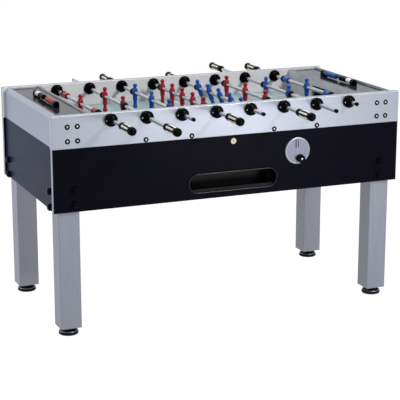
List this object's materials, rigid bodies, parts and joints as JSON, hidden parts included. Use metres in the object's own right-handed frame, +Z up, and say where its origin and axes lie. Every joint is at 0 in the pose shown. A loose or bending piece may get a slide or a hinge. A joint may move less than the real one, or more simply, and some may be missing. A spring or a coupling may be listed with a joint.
{
  "type": "foosball table",
  "caption": "Foosball table on square legs with a silver rim, black cabinet, sliding and spinning rods of red and blue players, a ball tray, a coin plate and a lift-up top.",
  "frame": {"origin": "on the floor under the middle of the table", "axes": "+X along the table to the right as seen from the coin side, +Y from the coin side to the back, +Z up"},
  "size_m": [1.534, 1.4549, 0.924],
  "materials": {
    "black_board": "semi-gloss laminate",
    "black_plastic": "moulded",
    "blue_grey_board": "gloss laminate",
    "blue_plastic": "gloss",
    "chrome_tube": "polished",
    "deck": "satin plastic",
    "field": "satin laminate",
    "leg_paint": "silver powder coat",
    "nickel": "nickel plated",
    "raw_board": "raw board",
    "red_plastic": "gloss",
    "rubber": "matt",
    "silver_rail": "silver laminate",
    "steel": "zinc plated",
    "wall": "gloss laminate",
    "white_plastic": "gloss"
  },
  "bodies": {
    "cabinet": {"front_panel": "black_board", "rear_panel": "black_board", "end_panels": "blue_grey_board", "floor_and_ball_return": "raw_board", "ball_tray": "black_plastic", "legs": "leg_paint", "leg_bolts": "black_plastic", "coin_mechanism": "nickel", "lock_barrel": "nickel", "hinge_lower_leaves": "steel"},
    "playing_top": {"side_rails": "silver_rail", "end_rails": "silver_rail", "end_walls": "wall", "end_decks": "deck", "playfield": "field", "rod_bearings": "black_plastic", "score_racks": "black_plastic", "white_score_beads": "white_plastic", "upper_hinges_and_catch": "steel"},
    "rod_1_stops": {"rod_1_bumpers": "rubber"},
    "rod_1": {"rod_1_tube": "chrome_tube", "rod_1_red_men": "red_plastic", "rod_1_handle": "black_plastic"},
    "rod_2_stops": {"rod_2_bumpers": "rubber"},
    "rod_2": {"rod_2_tube": "chrome_tube", "rod_2_red_men": "red_plastic", "rod_2_handle": "black_plastic"},
    "rod_3_stops": {"rod_3_bumpers": "rubber"},
    "rod_3": {"rod_3_tube": "chrome_tube", "rod_3_blue_men": "blue_plastic", "rod_3_handle": "black_plastic"},
    "rod_4_stops": {"rod_4_bumpers": "rubber"},
    "rod_4": {"rod_4_tube": "chrome_tube", "rod_4_red_men": "red_plastic", "rod_4_handle": "black_plastic"},
    "rod_5_stops": {"rod_5_bumpers": "rubber"},
    "rod_5": {"rod_5_tube": "chrome_tube", "rod_5_blue_men": "blue_plastic", "rod_5_handle": "black_plastic"},
    "rod_6_stops": {"rod_6_bumpers": "rubber"},
    "rod_6": {"rod_6_tube": "chrome_tube", "rod_6_red_men": "red_plastic", "rod_6_handle": "black_plastic"},
    "rod_7_stops": {"rod_7_bumpers": "rubber"},
    "rod_7": {"rod_7_tube": "chrome_tube", "rod_7_blue_men": "blue_plastic", "rod_7_handle": "black_plastic"},
    "rod_8_stops": {"rod_8_bumpers": "rubber"},
    "rod_8": {"rod_8_tube": "chrome_tube", "rod_8_blue_men": "blue_plastic", "rod_8_handle": "black_plastic"},
    "coin_knob": {"coin_knob": "black_plastic"},
    "release_bar": {"release_bar": "steel"},
    "lock_plug": {"lock_plug": "nickel"},
    "red_score": {"red_score_beads": "red_plastic"},
    "blue_score": {"blue_score_beads": "blue_plastic"},
    "front_left_foot": {"front_left_foot": "black_plastic"},
    "front_right_foot": {"front_right_foot": "black_plastic"},
    "rear_left_foot": {"rear_left_foot": "black_plastic"},
    "rear_right_foot": {"rear_right_foot": "black_plastic"}
  },
  "joints": [
    {"name": "top_lift", "type": "hinge", "parent": "cabinet", "child": "playing_top", "pos_m": [0, 0.3806, 0.776], "axis": [-1, 0, 0], "range_deg": [0, 60]},
    {"name": "rod_1_slide", "type": "slide", "parent": "playing_top", "child": "rod_1_stops", "axis": [0, 1, 0], "range_m": [-0.1035, 0.0835]},
    {"name": "rod_1_spin", "type": "hinge", "parent": "rod_1_stops", "child": "rod_1", "pos_m": [-0.525, 0, 0.878], "axis": [0, 1, 0], "continuous": true},
    {"name": "rod_2_slide", "type": "slide", "parent": "playing_top", "child": "rod_2_stops", "axis": [0, 1, 0], "range_m": [-0.207, 0.1669]},
    {"name": "rod_2_spin", "type": "hinge", "parent": "rod_2_stops", "child": "rod_2", "pos_m": [-0.375, 0, 0.878], "axis": [0, 1, 0], "continuous": true},
    {"name": "rod_3_slide", "type": "slide", "parent": "playing_top", "child": "rod_3_stops", "axis": [0, 1, 0], "range_m": [-0.0686, 0.1307]},
    {"name": "rod_3_spin", "type": "hinge", "parent": "rod_3_stops", "child": "rod_3", "pos_m": [-0.225, 0, 0.878], "axis": [0, 1, 0], "continuous": true},
    {"name": "rod_4_slide", "type": "slide", "parent": "playing_top", "child": "rod_4_stops", "axis": [0, 1, 0], "range_m": [-0.0656, 0.0716]},
    {"name": "rod_4_spin", "type": "hinge", "parent": "rod_4_stops", "child": "rod_4", "pos_m": [-0.075, 0, 0.878], "axis": [0, 1, 0], "continuous": true},
    {"name": "rod_5_slide", "type": "slide", "parent": "playing_top", "child": "rod_5_stops", "axis": [0, 1, 0], "range_m": [-0.0035, 0.1337]},
    {"name": "rod_5_spin", "type": "hinge", "parent": "rod_5_stops", "child": "rod_5", "pos_m": [0.075, 0, 0.878], "axis": [0, 1, 0], "continuous": true},
    {"name": "rod_6_slide", "type": "slide", "parent": "playing_top", "child": "rod_6_stops", "axis": [0, 1, 0], "range_m": [-0.1087, 0.0906]},
    {"name": "rod_6_spin", "type": "hinge", "parent": "rod_6_stops", "child": "rod_6", "pos_m": [0.225, 0, 0.878], "axis": [0, 1, 0], "continuous": true},
    {"name": "rod_7_slide", "type": "slide", "parent": "playing_top", "child": "rod_7_stops", "axis": [0, 1, 0], "range_m": [-0.189, 0.1849]},
    {"name": "rod_7_spin", "type": "hinge", "parent": "rod_7_stops", "child": "rod_7", "pos_m": [0.375, 0, 0.878], "axis": [0, 1, 0], "continuous": true},
    {"name": "rod_8_slide", "type": "slide", "parent": "playing_top", "child": "rod_8_stops", "axis": [0, 1, 0], "range_m": [-0.1055, 0.0815]},
    {"name": "rod_8_spin", "type": "hinge", "parent": "rod_8_stops", "child": "rod_8", "pos_m": [0.525, 0, 0.878], "axis": [0, 1, 0], "continuous": true},
    {"name": "coin_turn", "type": "hinge", "parent": "cabinet", "child": "coin_knob", "pos_m": [0.303, 0, 0.654], "axis": [0, 1, 0], "range_deg": [0, 60]},
    {"name": "release_slide", "type": "slide", "parent": "cabinet", "child": "release_bar", "axis": [1, 0, 0], "range_m": [0, 0.036]},
    {"name": "lock_turn", "type": "hinge", "parent": "cabinet", "child": "lock_plug", "pos_m": [0, 0, 0.751], "axis": [0, 1, 0], "range_deg": [0, 90]},
    {"name": "red_score_slide", "type": "slide", "parent": "playing_top", "child": "red_score", "axis": [0, 1, 0], "range_m": [0, 0.0415]},
    {"name": "blue_score_slide", "type": "slide", "parent": "playing_top", "child": "blue_score", "axis": [0, -1, 0], "range_m": [0, 0.0415]},
    {"name": "front_left_foot_height", "type": "slide", "parent": "cabinet", "child": "front_left_foot", "axis": [0, 0, -1], "range_m": [0, 0.015]},
    {"name": "front_right_foot_height", "type": "slide", "parent": "cabinet", "child": "front_right_foot", "axis": [0, 0, -1], "range_m": [0, 0.015]},
    {"name": "rear_left_foot_height", "type": "slide", "parent": "cabinet", "child": "rear_left_foot", "axis": [0, 0, -1], "range_m": [0, 0.015]},
    {"name": "rear_right_foot_height", "type": "slide", "parent": "cabinet", "child": "rear_right_foot", "axis": [0, 0, -1], "range_m": [0, 0.015]}
  ],
  "couplings": [
    {"joint": "coin_turn", "follows": "release_slide", "rad_per_m": 29.089}
  ]
}
